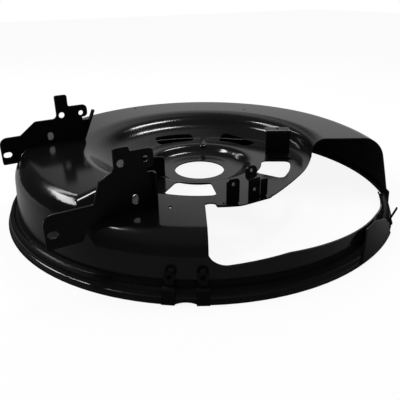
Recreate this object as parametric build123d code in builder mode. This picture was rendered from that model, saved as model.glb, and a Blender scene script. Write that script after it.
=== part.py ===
from build123d import *
from math import atan2, cos, degrees, hypot, radians, sin
import os

os.makedirs("parts", exist_ok=True)

# Frame: origin on the spindle axis at the level of the rim, X towards the front of the mower,
# Y towards its left side, Z up. Lengths in millimetres, angles in degrees from +X.

# Pressed shell: steel sheet, rim and wall
sheet = 2.7
rim_radius = 410.0
lip_spread = 8.0
flange_width = 14.0
flange_height = 21.0
wall_lean = 8.0
tunnel_height = 126.0
tunnel_shoulder = 38.0
flange_fillet = 6.0
rim_fillet = 8.0
flange_radius = rim_radius - lip_spread
wall_foot_radius = flange_radius - flange_width

# Wall swelling out towards the discharge opening, about an axis behind the spindle's
exit_start = 0.0
exit_sweep = 40.0
exit_behind = 120.0

# Notch in the lip between the two rim eyes
lip_notch_angle = -123.0
lip_notch_width = 37.0
lip_notch_rise = 4.0

# Dish in the middle of the shell: an eccentric foot circle and a concentric brow circle
panel_height = 75.0
dish_foot_radius = 200.0
dish_foot_offset = 53.0
dish_foot_heading = -75.0
dish_brow_radius = 245.0
brow_fillet = 34.0
dish_fillet = 22.0

# Recess for the spindle housing
recess_height = 54.5
recess_foot_radius = 84.0
recess_top_radius = 119.0
recess_foot_fillet = 22.0
recess_brow_fillet = 26.0
spindle_bore_radius = 55.0

# Lowered part of the tunnel beside the right hanger
low_tunnel_height = 97.0
low_shoulder = 42.0
low_brow_fillet = 9.0
step_angle = -152.5
step_start = 90.0
step_run = 26.0
step_fillet = 20.0
step_floor = 40.0

# Discharge opening on the right side: its edge in plan, its cut end and the skirt left under it
opening_left_angle = -118.2
opening_side = 235.0
opening_bend = 13.0
opening_mid_radius = 222.0
opening_mid_angle = -57.5
opening_end_radius = 262.0
opening_end_angle = -27.0
notch_radius = 13.0
notch_place_radius = 232.0
notch_place_angle = -115.3
lip_rise = 6.0
cut_heading = 60.0
cut_offset = -10.0
cut_lean = 0.45
skirt_left = -183.0
skirt_left_height = 48.0
skirt_peak = -60.0
skirt_peak_height = 57.5
skirt_bend = 176.0
skirt_bend_height = 43.0
skirt_end = 262.0
skirt_end_height = 26.0
skirt_corner = 28.0
skirt_fillet = 60.0

# Holes in the dish and the tunnel
sector_inner_radius = 127.0
sector_outer_radius = 188.0
sector_start = -141.5
sector_end = -110.0
sector_fillet = 10.0
side_hole_inner_radius = 137.0
side_hole_outer_radius = 199.0
side_hole_start = -63.0
side_hole_end = -32.0
side_hole_fillet = 12.0
left_slot_inner_radius = 146.0
left_slot_outer_radius = 172.0
left_slot_start = 65.5
left_slot_end = 101.0
front_slot_inner_radius = 150.0
front_slot_outer_radius = 187.0
front_slot_start = 11.0
front_slot_end = 41.5
slot_fillet = 11.0
screw_hole_radius = 3.5
right_screw_radius = 283.0
right_screw_angle = -130.0
left_screw_radius = 330.0
left_screw_angle = 92.0
front_screw_radius = 282.0
front_screw_angle = 34.3

# Bead between the two slots, from the foot of the dish over the edge of the recess
rib_angle = 55.5
rib_start_radius = 116.0
rib_end_radius = 160.0
rib_radius = 11.0
rib_rise = 4.0
rib_slope = 0.09

# Hanger plates: each stands across the mower and is welded along its foot.
# Their stations are measured forward from the pin hole.
plate = 4.0
weld_gap = 0.2
left_hanger_side = 140.0
right_hanger_side = -200.0
hanger_pin_radius = 6.25
hanger_lock_radius = 5.25
pin_setback = 155.0
pin_height = 183.0
lock_pitch = 41.0
hanger_slot_width = 12.0
hanger_slot_length = 17.0
front_edge = 55.0
ear_top = 200.0
ear_corner = 9.0
outline_corner = 4.0
finger_front = 15.0
finger_back = -11.0
flange_depth = 12.0
relief_depth = 12.0
relief_height = 7.0
relief_corner = 0.5
arm_corner = 16.0
arm_slot_inset = 12.0
left_finger_top = 225.0
left_shoulder_height = 177.0
left_shoulder_end = -56.0
left_arm_start = -89.0
left_arm_end = -131.0
left_arm_top = 152.0
left_arm_foot = 96.0
left_arm_slot_height = 116.0
left_hole_station = -29.0
left_hole_height = 142.0
left_relief_foot = 167.0
left_flange_foot = 19.0
left_flange_lean = 0.446
left_flange_top = 187.0
right_finger_top = 208.0
right_shoulder_height = 174.0
right_shoulder_end = -37.0
right_shoulder_foot = 160.0
right_arm_start = -48.0
right_arm_end = -126.0
right_arm_top = 125.0
right_arm_foot = 68.0
right_arm_slot_height = 92.0
right_hole_station = 20.0
right_hole_height = 118.0
right_flange_top = 160.0

# Small pieces welded to the dish: brake ear, tab and stop along the opening, belt guide, cover bracket
tab_sheet = 3.0
tab_bend = 5.0
tab_foot = 14.0
tab_hole = 3.5
ear_side = 228.0
ear_station = -64.0
ear_width = 26.0
ear_height = 50.0
ear_hole_height = 40.0
ear_round = 8.5
stop_station = 4.0
stop_width = 14.0
stop_height = 36.0
stop_round = 3.5
tab_station = -18.0
tab_width = 24.0
tab_shelf_height = 116.0
tab_shelf_depth = 11.0
tab_top = 137.0
tab_hole_height = 128.0
tab_round = 11.0
bracket_heading = -30.0
belt_guide_radius = 134.4
belt_guide_angle = -163.7
belt_guide_width = 46.0
belt_guide_height = 44.0
cover_radius = 180.0
cover_angle = -20.1
cover_width = 54.0
cover_height = 55.0
cover_foot = 26.0
cover_top_depth = 25.0

# Small pieces welded to the rim: two eyes, the plate and the hook by the front end of the opening
rear_eye_angle = -126.8
front_eye_angle = -119.5
rim_eye_height = 39.5
rim_eye_radius = 9.5
rim_eye_hole = 4.5
rim_eye_neck = 13.0
rim_eye_width = 20.0
rim_eye_clearance = 0.5
corner_plate_angle = -69.0
corner_plate_gap = 0.3
corner_plate_set_in = 11.7
corner_plate_foot = 3.0
corner_plate_top = 46.0
corner_plate_back = 79.0
corner_plate_back_top = 29.0
corner_plate_front_top = 8.0
corner_plate_front = 62.0
corner_plate_front_height = 30.0
corner_plate_round = 6.0
corner_hole_angle = -66.5
corner_hole_height = 34.0
corner_hole_radius = 3.5
hook_angle = -55.0
hook_foot = 3.0
hook_bend_height = 15.0
hook_top = 39.0
hook_reach = 3.0
hook_width = 8.0

quarter = 90.0
half_turn = 180.0
full_turn = 360.0
pin_station = pin_setback - rim_radius

# Reach of the cutting shapes past the rim and over the tunnel
clear_radius = 1.2 * rim_radius
clear_height = 2 * tunnel_height


def on_circle(radius, angle, height=0):
    """Point at a radius and an angle about the spindle axis."""
    return Vector(radius * cos(radians(angle)), radius * sin(radians(angle)), height)


def radial_plane(angle, place=(0, 0, 0)):
    """Upright plane with its x axis outwards at an angle and its y axis up."""
    return Plane(place, x_dir=on_circle(1, angle), z_dir=on_circle(1, angle - quarter))


def facing_plane(radius, angle):
    """Upright plane across a radius, looking outwards, with its y axis up."""
    return Plane(on_circle(radius, angle), x_dir=on_circle(1, angle + quarter), z_dir=on_circle(1, angle))


def wall_radius(height):
    """Radius of the outer wall at a height: it leans in towards the top."""
    return wall_foot_radius - wall_lean * (height - flange_height) / (tunnel_height - flange_height)


def lip_radius(height):
    """Radius of the outside of the lip at a height."""
    return rim_radius - lip_spread * height / flange_height


def half_section(corners, radii, inset):
    """Face between the upright axis and a rounded outline, with the outline moved in by inset."""
    with BuildSketch() as section:
        with BuildLine():
            edge = FilletPolyline(*corners, radius=radii)
            Polyline(edge @ 1, (0, (edge @ 1).Y), edge @ 0)
        make_face()
        mirror(about=Plane.YZ)
        if inset:
            offset(amount=-inset)
        split(bisect_by=Plane.YZ)
    return section.sketch


def turned(section, behind, start, sweep):
    """Solid swept by a half section about an upright axis that stands behind the spindle's."""
    axis_foot = on_circle(behind, exit_start + half_turn)
    with BuildPart() as solid:
        with BuildSketch(radial_plane(start, axis_foot)):
            add(section)
        revolve(axis=Axis(axis_foot, (0, 0, 1)), revolution_arc=sweep)
    return solid.part


def outer_skin(crown_height, shoulder, swelling, inset):
    """Solid under the outer skin, with its surface moved in by inset."""
    crown = [(0, crown_height), (wall_radius(crown_height), crown_height)]
    ledge = [(flange_radius, flange_height), (lip_radius(-flange_height), -flange_height)]
    wall_foot = (wall_foot_radius, flange_height)
    plain = half_section([*crown, wall_foot, *ledge], [shoulder, flange_fillet, rim_fillet], inset)
    with BuildPart() as body:
        if swelling:
            add(turned(plain, 0, exit_start, full_turn - exit_sweep))
            ledge_only = half_section([(0, flange_height), *ledge], [rim_fillet], inset)
            add(turned(ledge_only, 0, exit_start - exit_sweep, exit_sweep))
            crown_level = crown_height - inset
            set_out = exit_behind - inset * hypot(1, wall_lean / (tunnel_height - flange_height))
            swelled_crown = (wall_radius(crown_level) + set_out, crown_level)
            swelled_foot = (wall_radius(-flange_height) + set_out, -flange_height)
            swelled = half_section([(0, crown_level), swelled_crown, swelled_foot], [shoulder - inset], 0)
            sweep_end = on_circle(rim_radius, exit_sweep)
            turn = degrees(atan2(sweep_end.Y, sweep_end.X + exit_behind))
            add(turned(swelled, exit_behind, exit_start - turn, turn))
        else:
            add(turned(plain, 0, exit_start, full_turn))
        if inset <= 0:
            split(bisect_by=Plane.XY)
    return body.part


def dish(foot, inset):
    """Space over the dish: its foot circle is eccentric, so the far wall slopes gently."""
    foot_centre = on_circle(dish_foot_offset, dish_foot_heading)
    overshoot = 1.2
    with BuildPart() as space:
        with BuildSketch(Plane.XY.offset(panel_height)):
            with Locations(foot_centre):
                Circle(dish_foot_radius)
        with BuildSketch(Plane.XY.offset(panel_height + overshoot * (tunnel_height - panel_height))):
            with Locations(foot_centre * (1 - overshoot)):
                Circle(dish_foot_radius + overshoot * (dish_brow_radius - dish_foot_radius))
        loft(ruled=True)
        if inset:
            offset(amount=inset, kind=Kind.INTERSECTION)
        fillet(space.edges().group_by(Axis.Z)[0], radius=foot + inset)
    return space.part


def dished_deck(crown_height, shoulder, brow, foot, swelling, inset):
    """Outer skin with the dish pressed into its middle and both edges of the dish rounded."""
    with BuildPart() as deck:
        add(outer_skin(crown_height, shoulder, swelling, inset))
        add(dish(foot, inset), mode=Mode.SUBTRACT)
        top = deck.faces().filter_by(Axis.Z).group_by(Axis.Z)[-1].sort_by(SortBy.AREA)[-1]
        fillet(top.inner_wires()[0].edges(), radius=brow - inset)
    return deck.part


def beyond_step(inset):
    """Space on the right of the step and over its ramp; the step runs out along a radius."""
    steps = (tunnel_height - step_floor) / (tunnel_height - low_tunnel_height)
    with BuildPart() as space:
        with BuildSketch(facing_plane(step_start, step_angle)):
            with BuildLine():
                ramp = FilletPolyline(
                    (-2 * step_fillet, tunnel_height),
                    (0, tunnel_height),
                    (steps * step_run, step_floor),
                    radius=step_fillet,
                )
                Polyline(
                    ramp @ 1,
                    (clear_radius, step_floor),
                    (clear_radius, clear_height),
                    (-2 * step_fillet, clear_height),
                    ramp @ 0,
                )
            make_face()
            if inset:
                offset(amount=inset)
        extrude(amount=clear_radius)
    return space.part


def recess(inset):
    """Space over the recess for the spindle housing."""
    with BuildPart() as space:
        with BuildSketch(Plane.XZ):
            with BuildLine():
                floor = FilletPolyline(
                    (0, recess_height),
                    (recess_foot_radius, recess_height),
                    (recess_top_radius, panel_height),
                    (recess_top_radius + recess_brow_fillet, panel_height),
                    radius=[recess_foot_fillet, recess_brow_fillet],
                )
                Polyline(floor @ 1, (recess_top_radius + recess_brow_fillet, tunnel_height),
                         (0, tunnel_height), floor @ 0)
            make_face()
            mirror(about=Plane.YZ)
            if inset:
                offset(amount=inset)
            split(bisect_by=Plane.YZ)
        revolve(axis=Axis.Z)
    return space.part


def rib(inset):
    """Round-ended bead that stands out of the panel between the slots."""
    length = rib_end_radius - rib_start_radius
    middle = on_circle(rib_start_radius + length / 2, rib_angle, panel_height + rib_rise - rib_radius)
    with BuildPart(Plane(middle, z_dir=on_circle(1, rib_angle, rib_slope))) as bead:
        Cylinder(rib_radius - inset, length)
        with Locations((0, 0, -length / 2), (0, 0, length / 2)):
            Sphere(rib_radius - inset)
    return bead.part


def deck_body(inset):
    """Solid under the pressed skin, with its surface moved in by inset."""
    right_side = beyond_step(inset)
    with BuildPart() as low:
        add(dished_deck(low_tunnel_height, low_shoulder, low_brow_fillet, low_brow_fillet, False, inset))
        add(right_side, mode=Mode.INTERSECT)
    with BuildPart() as body:
        add(dished_deck(tunnel_height, tunnel_shoulder, brow_fillet, dish_fillet, True, inset))
        add(right_side, mode=Mode.SUBTRACT)
        add(low.part)
        add(recess(inset), mode=Mode.SUBTRACT)
        add(rib(inset))
    return body.part


def annular_sector(inner, outer, start, end, corner):
    """Face between two radii and two angles, with rounded corners."""
    with BuildSketch() as sector:
        with BuildLine():
            near_side = CenterArc((0, 0), inner, start, end - start)
            far_side = CenterArc((0, 0), outer, start, end - start)
            Line(near_side @ 0, far_side @ 0)
            Line(near_side @ 1, far_side @ 1)
        make_face()
        fillet(sector.vertices(), radius=corner)
    return sector.sketch


def discharge_cut():
    """Space of the discharge opening, from the dish out through the wall over the skirt."""
    bend = Vector(opening_bend, -opening_side)
    middle = on_circle(opening_mid_radius, opening_mid_angle)
    end = on_circle(opening_end_radius, opening_end_angle)
    far_left = on_circle(clear_radius, opening_left_angle)
    near_left = on_circle(notch_place_radius, opening_left_angle)
    with BuildPart() as space:
        with BuildSketch(Plane.XY.offset(flange_height)):
            with BuildLine():
                ThreePointArc(bend, middle, end)
                Polyline(end, (clear_radius, end.Y), (clear_radius, -clear_radius),
                         far_left, near_left, (near_left.X, -opening_side), bend)
            make_face()
            with Locations(on_circle(notch_place_radius, notch_place_angle)):
                Circle(notch_radius)
        extrude(amount=clear_height)
        with BuildSketch(Plane.XZ):
            with BuildLine():
                edge = FilletPolyline(
                    (skirt_left, clear_height),
                    (skirt_left, skirt_left_height),
                    (skirt_peak, skirt_peak_height),
                    (skirt_bend, skirt_bend_height),
                    (skirt_end, skirt_end_height),
                    radius=[skirt_corner, skirt_fillet, skirt_fillet],
                )
                Polyline(edge @ 1, (clear_radius, skirt_end_height),
                         (clear_radius, clear_height), edge @ 0)
            make_face()
        extrude(amount=clear_radius, mode=Mode.INTERSECT)
        leaning = on_circle(1, cut_heading, -cut_lean)
        cut_end = Plane(on_circle(cut_offset, cut_heading, tunnel_height), z_dir=leaning)
        split(bisect_by=cut_end, keep=Keep.BOTTOM)
        with Locations((near_left.X, -opening_side, panel_height + lip_rise)):
            Box(-2 * near_left.X, 3 * notch_radius, tunnel_height, align=(Align.MIN, Align.CENTER, Align.MIN))
    return space.part


def lip_notch():
    """Round bar across the lip whose top cuts the notch."""
    radius = (lip_notch_width ** 2 / 4 + lip_notch_rise ** 2) / (2 * lip_notch_rise)
    with BuildPart(radial_plane(lip_notch_angle)) as bar:
        with Locations(Location((rim_radius, lip_notch_rise - radius, 0), (0, quarter, 0))):
            Cylinder(radius, 2 * flange_width)
    return bar.part


with BuildPart() as deck_shell:
    add(deck_body(0))
    add(deck_body(sheet), mode=Mode.SUBTRACT)
    with Locations((0, 0, recess_height)):
        Cylinder(spindle_bore_radius, 4 * sheet, mode=Mode.SUBTRACT)
    add(discharge_cut(), mode=Mode.SUBTRACT)
    add(lip_notch(), mode=Mode.SUBTRACT)
    with BuildSketch(Plane.XY.offset(recess_height)):
        add(annular_sector(sector_inner_radius, sector_outer_radius, sector_start, sector_end, sector_fillet))
        add(annular_sector(side_hole_inner_radius, side_hole_outer_radius,
                           side_hole_start, side_hole_end, side_hole_fillet))
        add(annular_sector(left_slot_inner_radius, left_slot_outer_radius,
                           left_slot_start, left_slot_end, slot_fillet))
        add(annular_sector(front_slot_inner_radius, front_slot_outer_radius,
                           front_slot_start, front_slot_end, slot_fillet))
        with Locations(on_circle(right_screw_radius, right_screw_angle),
                       on_circle(left_screw_radius, left_screw_angle),
                       on_circle(front_screw_radius, front_screw_angle)):
            Circle(screw_hole_radius)
    extrude(amount=clear_height, mode=Mode.SUBTRACT)
deck_shell.part.label = "deck_shell"
export_step(deck_shell.part, "parts/deck_shell.step")

seat = deck_body(-weld_gap)


def hanger_plane(side):
    """Plane of a hanger plate, with its origin under the pin hole."""
    return Plane((pin_station, side, 0), x_dir=(1, 0, 0), z_dir=(0, -1, 0))


def hanger_flange(foot, lean, top, side):
    """Stiffening flange along a hanger's front edge, bent towards the right of the mower."""
    head = foot + lean * (top - panel_height)
    with BuildPart() as flange:
        with BuildSketch(hanger_plane(side)):
            Polygon((head, top), (head - plate, top),
                    (foot - plate, panel_height), (foot, panel_height), align=None)
        extrude(amount=flange_depth)
    return flange.part


left_flange_join = left_flange_foot + left_flange_lean * (left_relief_foot - panel_height)
with BuildPart() as left_hanger:
    with BuildSketch(hanger_plane(left_hanger_side)):
        with BuildLine():
            FilletPolyline(
                (front_edge, ear_top),
                (finger_front, ear_top),
                (finger_front, left_finger_top),
                (finger_back, left_finger_top),
                (finger_back, left_shoulder_height),
                (left_shoulder_end, left_shoulder_height),
                (left_arm_start, left_arm_top),
                (left_arm_end, left_arm_top),
                (left_arm_end, left_arm_foot),
                (left_arm_start, left_arm_foot),
                (left_flange_foot, panel_height),
                (left_flange_join, left_relief_foot),
                (front_edge - relief_depth, left_relief_foot),
                (front_edge - relief_depth, left_relief_foot + relief_height),
                (front_edge, left_relief_foot + relief_height),
                radius=[
                    ear_corner, outline_corner, outline_corner, outline_corner, ear_corner, ear_corner,
                    outline_corner, arm_corner, outline_corner, outline_corner, outline_corner, relief_corner,
                    relief_corner, relief_corner, ear_corner,
                ],
                close=True,
            )
        make_face()
        with Locations((0, pin_height)):
            Circle(hanger_pin_radius, mode=Mode.SUBTRACT)
        with Locations((lock_pitch, pin_height)):
            Circle(hanger_lock_radius, mode=Mode.SUBTRACT)
        with Locations((left_hole_station, left_hole_height)):
            SlotOverall(hanger_slot_length, hanger_slot_width, rotation=quarter, mode=Mode.SUBTRACT)
        with Locations((left_arm_end + arm_slot_inset, left_arm_slot_height)):
            SlotOverall(hanger_slot_length, hanger_slot_width, mode=Mode.SUBTRACT)
    extrude(amount=plate / 2, both=True)
    add(hanger_flange(left_flange_foot, left_flange_lean, left_flange_top, left_hanger_side))
    add(seat, mode=Mode.SUBTRACT)
left_hanger.part.label = "left_hanger"
export_step(left_hanger.part, "parts/left_hanger.step")

with BuildPart() as right_hanger:
    with BuildSketch(hanger_plane(right_hanger_side)):
        with BuildLine():
            FilletPolyline(
                (front_edge, ear_top),
                (finger_front, ear_top),
                (finger_front, right_finger_top),
                (finger_back, right_finger_top),
                (finger_back, right_shoulder_height),
                (right_shoulder_end, right_shoulder_foot),
                (right_arm_start, right_arm_top),
                (right_arm_end, right_arm_top),
                (right_arm_end, right_arm_foot),
                (front_edge, right_arm_foot),
                (front_edge, right_flange_top),
                (front_edge - relief_depth, right_flange_top),
                (front_edge - relief_depth, right_flange_top + relief_height),
                (front_edge, right_flange_top + relief_height),
                radius=[
                    ear_corner, outline_corner, outline_corner, outline_corner, ear_corner, ear_corner,
                    outline_corner, arm_corner, outline_corner, outline_corner, outline_corner, relief_corner,
                    relief_corner, ear_corner,
                ],
                close=True,
            )
        make_face()
        with Locations((0, pin_height)):
            Circle(hanger_pin_radius, mode=Mode.SUBTRACT)
        with Locations((lock_pitch, pin_height)):
            Circle(hanger_lock_radius, mode=Mode.SUBTRACT)
        with Locations((right_hole_station, right_hole_height)):
            SlotOverall(hanger_slot_length, hanger_slot_width, rotation=quarter, mode=Mode.SUBTRACT)
        with Locations((right_arm_end + arm_slot_inset, right_arm_slot_height)):
            SlotOverall(hanger_slot_length, hanger_slot_width, mode=Mode.SUBTRACT)
    extrude(amount=plate / 2, both=True)
    add(hanger_flange(front_edge, 0, right_flange_top, right_hanger_side))
    add(seat, mode=Mode.SUBTRACT)
right_hanger.part.label = "right_hanger"
export_step(right_hanger.part, "parts/right_hanger.step")


def angle_tab(width, height, foot, corner, hole_height, hole_radius):
    """Upright tab with a foot bent to the back, standing at the origin and facing -Y."""
    with BuildPart() as tab:
        with BuildSketch(Plane.YZ):
            with BuildLine():
                FilletPolyline((foot, 0), (0, 0), (0, height), radius=tab_bend)
                offset(amount=tab_sheet, side=Side.RIGHT)
            make_face()
        extrude(amount=width / 2, both=True)
        fillet(tab.edges().filter_by(Axis.Y).group_by(Axis.Z)[-1], radius=corner)
        if hole_radius:
            with Locations(Location((0, 0, hole_height), (quarter, 0, 0))):
                Cylinder(hole_radius, 4 * tab_sheet, mode=Mode.SUBTRACT)
    return tab.part


with BuildPart() as brake_ear:
    with Locations((ear_station, -ear_side, panel_height + weld_gap)):
        add(angle_tab(ear_width, ear_height, tab_foot, ear_round, ear_hole_height, tab_hole))
    add(seat, mode=Mode.SUBTRACT)
brake_ear.part.label = "brake_ear"
export_step(brake_ear.part, "parts/brake_ear.step")

with BuildPart() as brake_stop:
    with Locations((stop_station, -ear_side, panel_height + weld_gap)):
        add(angle_tab(stop_width, stop_height, tab_foot, stop_round, 0, 0))
    add(seat, mode=Mode.SUBTRACT)
brake_stop.part.label = "brake_stop"
export_step(brake_stop.part, "parts/brake_stop.step")

tab_middle = (panel_height + tab_shelf_height) / 2
with BuildPart() as brake_tab:
    with BuildSketch(Plane.YZ.offset(tab_station)):
        with BuildLine():
            FilletPolyline(
                (-ear_side, panel_height + weld_gap),
                (-ear_side, tab_shelf_height),
                (-ear_side + tab_shelf_depth, tab_shelf_height),
                (-ear_side + tab_shelf_depth, tab_top),
                radius=tab_bend,
            )
            offset(amount=tab_sheet, side=Side.RIGHT)
        make_face()
    extrude(amount=tab_width / 2, both=True)
    fillet(brake_tab.edges().filter_by(Axis.Y).group_by(Axis.Z)[-1], radius=tab_round)
    with Locations(Location((tab_station, -ear_side, tab_hole_height), (quarter, 0, 0))):
        Cylinder(tab_hole, 4 * tab_shelf_depth, mode=Mode.SUBTRACT)
    with Locations(Location((tab_station, -ear_side, tab_middle), (quarter, 0, 0))):
        Cylinder(tab_hole, tab_shelf_depth, mode=Mode.SUBTRACT)
    add(seat, mode=Mode.SUBTRACT)
brake_tab.part.label = "brake_tab"
export_step(brake_tab.part, "parts/brake_tab.step")

belt_guide_place = on_circle(belt_guide_radius, belt_guide_angle, panel_height + weld_gap)
with BuildPart() as belt_guide:
    with Locations(Location(belt_guide_place, (0, 0, bracket_heading))):
        add(angle_tab(belt_guide_width, belt_guide_height, tab_foot, tab_bend, 0, 0))
    add(seat, mode=Mode.SUBTRACT)
belt_guide.part.label = "belt_guide"
export_step(belt_guide.part, "parts/belt_guide.step")

with BuildPart() as cover_bracket:
    with BuildSketch(Plane.YZ):
        with BuildLine():
            FilletPolyline(
                (-cover_foot, 0),
                (0, 0),
                (0, cover_height),
                (cover_top_depth, cover_height),
                radius=tab_bend,
            )
            offset(amount=tab_sheet, side=Side.LEFT)
        make_face()
    extrude(amount=cover_width / 2, both=True)
    with Locations((0, cover_top_depth / 2 + tab_sheet, cover_height)):
        Cylinder(tab_hole, 4 * tab_sheet, mode=Mode.SUBTRACT)
cover_place = on_circle(cover_radius, cover_angle, panel_height + weld_gap)
cover_bracket.part = Location(cover_place, (0, 0, bracket_heading)) * cover_bracket.part
cover_bracket.part.label = "cover_bracket"
export_step(cover_bracket.part, "parts/cover_bracket.step")


def rim_eye(angle):
    """Eye tab welded to the bead of the rim, with a tongue over the lip."""
    seat_radius = wall_foot_radius + flange_fillet + rim_eye_clearance
    seat_height = flange_height + weld_gap
    with BuildPart() as eye:
        with BuildSketch(radial_plane(angle)):
            with BuildLine():
                FilletPolyline(
                    (seat_radius, seat_height),
                    (flange_radius + weld_gap, seat_height),
                    (rim_radius + weld_gap, weld_gap),
                    radius=rim_fillet + weld_gap,
                )
                offset(amount=tab_sheet, side=Side.LEFT)
            make_face()
        extrude(amount=rim_eye_width / 2, both=True)
        with BuildSketch(facing_plane(seat_radius, angle)):
            with Locations((0, rim_eye_height)):
                Circle(rim_eye_radius)
            with Locations((0, (rim_eye_height + seat_height) / 2)):
                Rectangle(rim_eye_neck, rim_eye_height - seat_height)
            with Locations((0, rim_eye_height)):
                Circle(rim_eye_hole, mode=Mode.SUBTRACT)
        extrude(amount=tab_sheet)
    return eye.part


with BuildPart() as rear_rim_eye:
    add(rim_eye(rear_eye_angle))
rear_rim_eye.part.label = "rear_rim_eye"
export_step(rear_rim_eye.part, "parts/rear_rim_eye.step")

with BuildPart() as front_rim_eye:
    add(rim_eye(front_eye_angle))
front_rim_eye.part.label = "front_rim_eye"
export_step(front_rim_eye.part, "parts/front_rim_eye.step")

with BuildPart() as chute_plate:
    with BuildSketch(radial_plane(exit_start)):
        with BuildLine():
            Line((flange_radius - corner_plate_set_in, corner_plate_top),
                 (rim_radius + corner_plate_gap, corner_plate_foot))
            offset(amount=sheet, side=Side.LEFT)
        make_face()
    revolve(axis=Axis.Z, revolution_arc=full_turn)
    with BuildSketch(facing_plane(0, corner_plate_angle)):
        with BuildLine():
            FilletPolyline(
                (-corner_plate_back, 0),
                (-corner_plate_back_top, corner_plate_top),
                (corner_plate_front_top, corner_plate_top),
                (corner_plate_front, corner_plate_front_height),
                (corner_plate_front, 0),
                radius=corner_plate_round,
            )
            Line((corner_plate_front, 0), (-corner_plate_back, 0))
        make_face()
    extrude(amount=clear_radius, mode=Mode.INTERSECT)
    with Locations(Location(on_circle(rim_radius, corner_hole_angle, corner_hole_height),
                            (0, quarter, corner_hole_angle))):
        Cylinder(corner_hole_radius, 4 * lip_spread, mode=Mode.SUBTRACT)
chute_plate.part.label = "chute_plate"
export_step(chute_plate.part, "parts/chute_plate.step")

with BuildPart() as chute_hook:
    with BuildSketch(radial_plane(hook_angle)):
        with BuildLine():
            FilletPolyline(
                (lip_radius(hook_foot) + corner_plate_gap, hook_foot),
                (lip_radius(hook_bend_height) + corner_plate_gap, hook_bend_height),
                (rim_radius + hook_reach, hook_top),
                radius=tab_bend,
            )
            offset(amount=sheet, side=Side.RIGHT)
        make_face()
    extrude(amount=hook_width / 2, both=True)
chute_hook.part.label = "chute_hook"
export_step(chute_hook.part, "parts/chute_hook.step")
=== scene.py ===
from math import cos, pi, radians, sin, tan

import bpy
from mathutils import Matrix, Vector

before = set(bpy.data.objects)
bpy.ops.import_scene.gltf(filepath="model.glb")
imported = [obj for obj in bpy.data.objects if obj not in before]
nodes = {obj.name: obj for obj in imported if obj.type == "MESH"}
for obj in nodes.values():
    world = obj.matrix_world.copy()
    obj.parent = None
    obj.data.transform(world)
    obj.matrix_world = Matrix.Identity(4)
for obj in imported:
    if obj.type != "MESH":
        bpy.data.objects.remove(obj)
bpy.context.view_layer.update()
scene = bpy.context.scene

# Camera: it looks at the middle of the rim from the right rear of the mower
camera_distance = 1.0336
camera_pitch = radians(24.14)
camera_heading = radians(30)
camera_roll = radians(0.67)
camera_lens = 40.5
camera_sensor = 36
camera_shift = (0.0005, -0.022)
camera_reach = 50

# Studio: directions are an azimuth from the camera's right, through away from it, and an elevation.
# The backdrop fades between two angles from its direction, and the ceiling between two heights of a unit ray
floor_size = 14.0
floor_white = 0.9
fill_strength = 0.8
lamp_distance = 2.2
backdrop_direction = (80, 8)
backdrop_reach = (41, 8)
backdrop_strength = 0.64
studio_strength = 0.04
ceiling_reach = (0.5, 1)
ceiling_strength = 0.1

# Painted reflection of the floor in the gloss paint: glossy rays see the floor glow, dark towards the camera
# and pale behind the object, with painted shade under the deck, where only a small share of that glow is left
floor_reach = (-0.45, 0.15)
floor_gloss = (0.1, 0.38)
under_deck = (0.406, 0.44)
under_gloss = 0.03

# Painted shade on the floor under the far side of the tunnel, where little light comes in: the floor's colour
# and its white to the camera go dark there
shade_paint_depth = (0.26, 0.31)
shade_paint_radius = (0.405, 0.409)

# Paint: noise levels with the share of the colour there, noise levels between which dust dulls it, orange peel,
# and the shine where nothing dims it
cloud_scale = 9
cloud_detail = 5
cloud_tint = ((0.35, 0.85), (0.75, 1.25))
cloud_dust = (0.3, 0.8)
peel_scale = 260
peel_detail = 2
peel_depth = 0.0006
plain_shine = 0.5

# Rolled folds of the pressing, in the paint's normal: the sheet is flattest at two heights and steepest halfway
# between them, by a share of its slope. The border is between recess and dish. The folds end at a radius, and
# fade out on the camera's side of the axis
dish_fold = (0.091, 0.119)
recess_fold = (0.0573, 0.0763)
fold_wave = (1.5 * pi, -0.5 * pi)
fold_change = 0.6
fold_border = (0.0753, 0.0757)
fold_radius = (0.246, 0.256)
fold_depth = (-0.08, 0.0)

# Rim, from the radius where it starts. Each band has the heights where it starts, is full, fades and ends:
# a fine rolled line low on the lip, whose normal leans less by a share, dust that dulls the two rounded
# edges of the flange, and less shine on the whole flange
rim_start = (0.384, 0.386)
lip_line = (0.0065, 0.01, 0.01, 0.0135)
lip_line_change = -0.88
edge_dust = [(0.0145, 0.0160, 0.0206, 0.02095), (0.02105, 0.0213, 0.028, 0.031)]
edge_dull = 0.55
flange_band = (0.0145, 0.0160, 0.028, 0.031)
flange_dim = 0.42

# Edges flatter than this are shaded as one smooth surface, once points closer than a distance are joined
smooth_angle = radians(50)
join_distance = 1e-6
large_face_weight = 60

away = Vector((sin(camera_heading), cos(camera_heading), 0))
level = Vector((cos(camera_heading), -sin(camera_heading), 0))


def heading(azimuth, elevation):
    """Direction at an azimuth from the camera's right and an elevation, in degrees."""
    flat = level * cos(radians(azimuth)) + away * sin(radians(azimuth))
    return flat * cos(radians(elevation)) + Vector((0, 0, sin(radians(elevation))))


def new_material(name):
    """An empty node material, and the two lists that fill it."""
    material = bpy.data.materials.new(name)
    material.use_nodes = True
    tree = material.node_tree
    tree.nodes.clear()
    return material, tree.nodes, tree.links


def combine(node, link, operation, first, second):
    """Result of an operation on two values, each a socket or a number."""
    step = node.new("ShaderNodeMath")
    step.operation = operation
    for socket, value in zip(step.inputs, (first, second)):
        if isinstance(value, (int, float)):
            socket.default_value = value
        else:
            link.new(value, socket)
    return step.outputs["Value"]


def vector_math(node, link, operation, first, second=None):
    """Result of a vector operation on sockets or fixed vectors."""
    step = node.new("ShaderNodeVectorMath")
    step.operation = operation
    for socket, value in zip(step.inputs, (first, second)):
        if isinstance(value, tuple):
            socket.default_value = value
        elif value is not None:
            link.new(value, socket)
    return step.outputs["Value" if operation in ("LENGTH", "DOT_PRODUCT") else "Vector"]


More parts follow.
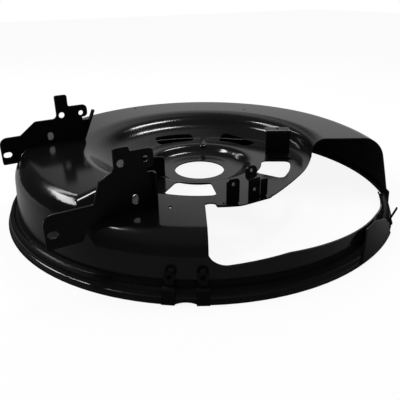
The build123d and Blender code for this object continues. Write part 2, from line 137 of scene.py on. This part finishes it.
def dot_with(node, link, vector, axis):
    """Length of a vector socket along a fixed axis."""
    return vector_math(node, link, "DOT_PRODUCT", vector, tuple(axis))


def ramp(node, link, value, start, end, low, high, shape="SMOOTHSTEP"):
    """Change from low to high while a value goes from start to end, smooth unless another shape is given."""
    change = node.new("ShaderNodeMapRange")
    change.interpolation_type = shape
    change.inputs["From Min"].default_value = start
    change.inputs["From Max"].default_value = end
    change.inputs["To Min"].default_value = low
    change.inputs["To Max"].default_value = high
    link.new(value, change.inputs["Value"])
    return change.outputs["Result"]


def peak(node, link, value, start, full, fade, end):
    """Value that rises smoothly to one, stays there and falls back to zero."""
    rise = ramp(node, link, value, start, full, 0, 1)
    return combine(node, link, "MULTIPLY", rise, ramp(node, link, value, fade, end, 1, 0))


def mixed(node, link, share, first, second):
    """Shader that goes from first to second with a share."""
    mix = node.new("ShaderNodeMixShader")
    link.new(share, mix.inputs[0])
    link.new(first, mix.inputs[1])
    link.new(second, mix.inputs[2])
    return mix.outputs[0]


def noise(node, link, place, scale, detail):
    """Level of a noise at a place."""
    texture = node.new("ShaderNodeTexNoise")
    texture.inputs["Scale"].default_value = scale
    texture.inputs["Detail"].default_value = detail
    link.new(place, texture.inputs["Vector"])
    return texture.outputs["Fac"]


def sloping(node, link, lean):
    """Vector that scales a normal's level part by a lean and keeps its height."""
    slope = node.new("ShaderNodeCombineXYZ")
    link.new(lean, slope.inputs["X"])
    link.new(lean, slope.inputs["Y"])
    slope.inputs["Z"].default_value = 1
    return slope.outputs[0]


def dish_lean(node, link, height, radius, depth):
    """How much steeper the sheet is than its straight wall, as it rolls over each dish's brow and foot."""
    waves = []
    for low, high in (dish_fold, recess_fold):
        turn = ramp(node, link, height, low, high, *fold_wave, "LINEAR")
        waves.append(combine(node, link, "SINE", turn, 0))
    over = ramp(node, link, height, *fold_border, 0, 1)
    below = ramp(node, link, height, *fold_border, 1, 0)
    wave = combine(node, link, "ADD", combine(node, link, "MULTIPLY", waves[0], over),
                   combine(node, link, "MULTIPLY", waves[1], below))
    inside = ramp(node, link, radius, *fold_radius, fold_change, 0)
    far = ramp(node, link, depth, *fold_depth, 0, 1)
    change = combine(node, link, "MULTIPLY", wave, combine(node, link, "MULTIPLY", inside, far))
    return combine(node, link, "ADD", change, 1)


def rim_band(node, link, height, radius, band, share):
    """A share that holds on the rim within a band of heights, and is zero elsewhere."""
    return combine(node, link, "MULTIPLY", peak(node, link, height, *band),
                   ramp(node, link, radius, *rim_start, 0, share))


def rolled_normal(node, link, height, radius, depth):
    """Normal of the pressed sheet, with the folds of the dish and the recess and the line on the lip."""
    line = rim_band(node, link, height, radius, lip_line, lip_line_change)
    lean = combine(node, link, "ADD", dish_lean(node, link, height, radius, depth), line)
    normal = node.new("ShaderNodeNewGeometry").outputs["Normal"]
    leaning = vector_math(node, link, "MULTIPLY", normal, sloping(node, link, lean))
    return vector_math(node, link, "NORMALIZE", leaning)


def gloss_paint(name, colour, index, roughness, peel, dust, rolled):
    """Sprayed enamel with clouds, dust and orange peel, and on the rolled sheet its folds and its dull rim."""
    material, node, link = new_material(name)
    output = node.new("ShaderNodeOutputMaterial")
    paint = node.new("ShaderNodeBsdfPrincipled")
    paint.inputs["IOR"].default_value = index
    link.new(paint.outputs["BSDF"], output.inputs["Surface"])
    place = node.new("ShaderNodeTexCoord").outputs["Object"]

    cloud = noise(node, link, place, cloud_scale, cloud_detail)
    tint = node.new("ShaderNodeValToRGB")
    for stop, (position, share) in zip(tint.color_ramp.elements, cloud_tint):
        stop.position = position
        stop.color = (*[part * share for part in colour], 1)
    link.new(cloud, tint.inputs["Fac"])
    link.new(tint.outputs["Color"], paint.inputs["Base Color"])
    dull = ramp(node, link, cloud, *cloud_dust, roughness, roughness + dust, "LINEAR")

    bump = node.new("ShaderNodeBump")
    bump.inputs["Strength"].default_value = peel
    bump.inputs["Distance"].default_value = peel_depth
    link.new(noise(node, link, place, peel_scale, peel_detail), bump.inputs["Height"])
    if rolled:
        height = dot_with(node, link, place, (0, 0, 1))
        radius = vector_math(node, link, "LENGTH", vector_math(node, link, "MULTIPLY", place, (1, 1, 0)))
        depth = dot_with(node, link, place, away)
        link.new(rolled_normal(node, link, height, radius, depth), bump.inputs["Normal"])
        for band in edge_dust:
            dull = combine(node, link, "ADD", dull, rim_band(node, link, height, radius, band, edge_dull))
        dimmed = rim_band(node, link, height, radius, flange_band, flange_dim)
        shine = combine(node, link, "SUBTRACT", plain_shine, dimmed)
        link.new(shine, paint.inputs["Specular IOR Level"])
    link.new(dull, paint.inputs["Roughness"])
    link.new(bump.outputs["Normal"], paint.inputs["Normal"])
    return material


def smooth_group():
    """Geometry nodes that join the faces' shared points and shade every flat edge smooth."""
    group = bpy.data.node_groups.new("smooth_sheet", "GeometryNodeTree")
    group.interface.new_socket("Geometry", in_out="INPUT", socket_type="NodeSocketGeometry")
    group.interface.new_socket("Geometry", in_out="OUTPUT", socket_type="NodeSocketGeometry")
    start = group.nodes.new("NodeGroupInput")
    end = group.nodes.new("NodeGroupOutput")
    join = group.nodes.new("GeometryNodeMergeByDistance")
    join.inputs["Distance"].default_value = join_distance
    faces = group.nodes.new("GeometryNodeSetShadeSmooth")
    faces.domain = "FACE"
    edges = group.nodes.new("GeometryNodeSetShadeSmooth")
    edges.domain = "EDGE"
    angle = group.nodes.new("GeometryNodeInputMeshEdgeAngle")
    flat = group.nodes.new("FunctionNodeCompare")
    flat.operation = "LESS_EQUAL"
    flat.inputs["B"].default_value = smooth_angle
    link = group.links
    link.new(start.outputs[0], join.inputs["Geometry"])
    link.new(join.outputs["Geometry"], faces.inputs["Geometry"])
    link.new(faces.outputs["Geometry"], edges.inputs["Geometry"])
    link.new(angle.outputs["Unsigned Angle"], flat.inputs["A"])
    link.new(flat.outputs["Result"], edges.inputs["Shade Smooth"])
    link.new(edges.outputs["Geometry"], end.inputs[0])
    return group


def dress(names, material, smoothing):
    """Paints CAD nodes and shades their tangent faces as one surface."""
    for name in names:
        piece = nodes[name]
        piece.data.materials.clear()
        piece.data.materials.append(material)
        piece.modifiers.new("smooth", "NODES").node_group = smoothing
        weighted = piece.modifiers.new("weighted", "WEIGHTED_NORMAL")
        weighted.keep_sharp = True
        weighted.weight = large_face_weight


def strip_light(name, direction, spread, power):
    """A soft box in a direction from the object and turned to it, with its width and height as angles."""
    lamp = bpy.data.lights.new(name, "AREA")
    lamp.shape = "RECTANGLE"
    lamp.size, lamp.size_y = [2 * lamp_distance * tan(radians(angle / 2)) for angle in spread]
    lamp.energy = power
    box = bpy.data.objects.new(name, lamp)
    side = heading(*direction)
    box.location = side * lamp_distance
    box.rotation_euler = (-side).to_track_quat("-Z", "Y").to_euler()
    scene.collection.objects.link(box)


def view_axes():
    """Right, up and backward axes of the camera in the row frame, with its small roll."""
    forward = away * cos(camera_pitch) - Vector((0, 0, sin(camera_pitch)))
    upright = level.cross(forward)
    right = level * cos(camera_roll) - upright * sin(camera_roll)
    up = level * sin(camera_roll) + upright * cos(camera_roll)
    return right, up, -forward


def add_camera():
    """Camera at the photograph's viewing angle."""
    lens = bpy.data.cameras.new("camera")
    lens.lens = camera_lens
    lens.sensor_width = camera_sensor
    lens.shift_x, lens.shift_y = camera_shift
    lens.clip_end = camera_reach
    camera = bpy.data.objects.new("camera", lens)
    right, up, back = view_axes()
    turn = Matrix((right, up, back)).transposed().to_4x4()
    camera.matrix_world = Matrix.Translation(back * camera_distance) @ turn
    scene.collection.objects.link(camera)
    scene.camera = camera


def add_floor():
    """Pale floor that takes the object's shadow and has painted shade under the far tunnel, reads white to the
    camera, and in the gloss shows a painted reflection that fades.
    """
    mesh = bpy.data.meshes.new("floor")
    half = floor_size / 2
    corners = [(-half, -half, 0), (half, -half, 0), (half, half, 0), (-half, half, 0)]
    mesh.from_pydata(corners, [], [(0, 1, 2, 3)])
    floor = bpy.data.objects.new("floor", mesh)
    scene.collection.objects.link(floor)
    material, node, link = new_material("floor_white")
    output = node.new("ShaderNodeOutputMaterial")
    place = node.new("ShaderNodeTexCoord").outputs["Object"]
    path = node.new("ShaderNodeLightPath")
    depth = dot_with(node, link, place, away)
    from_axis = vector_math(node, link, "LENGTH", place)

    # Painted reflection: the floor glows for glossy rays, with painted shade under the deck
    reflected = node.new("ShaderNodeEmission")
    open_gloss = ramp(node, link, from_axis, *under_deck, under_gloss, 1)
    fading = ramp(node, link, depth, *floor_reach, *floor_gloss)
    link.new(combine(node, link, "MULTIPLY", fading, open_gloss), reflected.inputs["Strength"])

    # Painted shade: a dark ring under the far side of the tunnel, in the floor's colour and in its white to the
    # camera
    far = ramp(node, link, depth, *shade_paint_depth, 0, 1)
    under = ramp(node, link, from_axis, *shade_paint_radius, 1, 0)
    unshaded_floor = combine(node, link, "SUBTRACT", 1, combine(node, link, "MULTIPLY", far, under))
    pale = node.new("ShaderNodeBsdfDiffuse")
    link.new(combine(node, link, "MULTIPLY", unshaded_floor, floor_white), pale.inputs["Color"])
    white = node.new("ShaderNodeEmission")
    seen = combine(node, link, "MULTIPLY", path.outputs["Is Camera Ray"], floor_white)
    share = combine(node, link, "MULTIPLY", seen, unshaded_floor)

    gloss = mixed(node, link, path.outputs["Is Glossy Ray"], pale.outputs[0], reflected.outputs[0])
    link.new(mixed(node, link, share, gloss, white.outputs[0]), output.inputs["Surface"])
    mesh.materials.append(material)


def add_world():
    """White to the camera, a pale backdrop behind the object to the gloss, and a plain soft fill."""
    world = bpy.data.worlds.new("studio")
    scene.world = world
    world.use_nodes = True
    node, link = world.node_tree.nodes, world.node_tree.links
    node.clear()
    output = node.new("ShaderNodeOutputWorld")
    direction = node.new("ShaderNodeTexCoord").outputs["Generated"]
    path = node.new("ShaderNodeLightPath")

    fill = node.new("ShaderNodeBackground")
    fill.inputs["Strength"].default_value = fill_strength
    white = node.new("ShaderNodeBackground")
    white.inputs["Color"].default_value = (1, 1, 1, 1)

    facing = dot_with(node, link, direction, heading(*backdrop_direction))
    outer, inner = [cos(radians(angle)) for angle in backdrop_reach]
    backdrop = ramp(node, link, facing, outer, inner, studio_strength, backdrop_strength)
    height = dot_with(node, link, direction, (0, 0, 1))
    ceiling = ramp(node, link, height, *ceiling_reach, 0, ceiling_strength)
    studio = node.new("ShaderNodeBackground")
    link.new(combine(node, link, "ADD", backdrop, ceiling), studio.inputs["Strength"])

    lit = mixed(node, link, path.outputs["Is Glossy Ray"], fill.outputs[0], studio.outputs[0])
    seen = mixed(node, link, path.outputs["Is Camera Ray"], lit, white.outputs[0])
    link.new(seen, output.inputs["Surface"])


enamel = gloss_paint("gloss_black", colour=(0.0032, 0.0032, 0.0034), index=1.5, roughness=0.1, peel=0.05,
                     dust=0.08, rolled=True)
satin = gloss_paint("satin_black", colour=(0.0012, 0.0012, 0.0013), index=1.36, roughness=0.26, peel=0.12,
                    dust=0.12, rolled=False)
sheet_smoothing = smooth_group()
dress(["deck_shell"], enamel, sheet_smoothing)
dress([name for name in nodes if name != "deck_shell"], satin, sheet_smoothing)

add_camera()
add_floor()
add_world()
strip_light("strip_right", direction=(60, 60), spread=(6, 16), power=11)
strip_light("strip_left", direction=(168, 56), spread=(6, 14), power=9)
strip_light("soft_left", direction=(162, 42), spread=(22, 9), power=10)
strip_light("tail_left", direction=(135, 38.5), spread=(22, 4), power=2.2)

scene.view_settings.view_transform = "Standard"
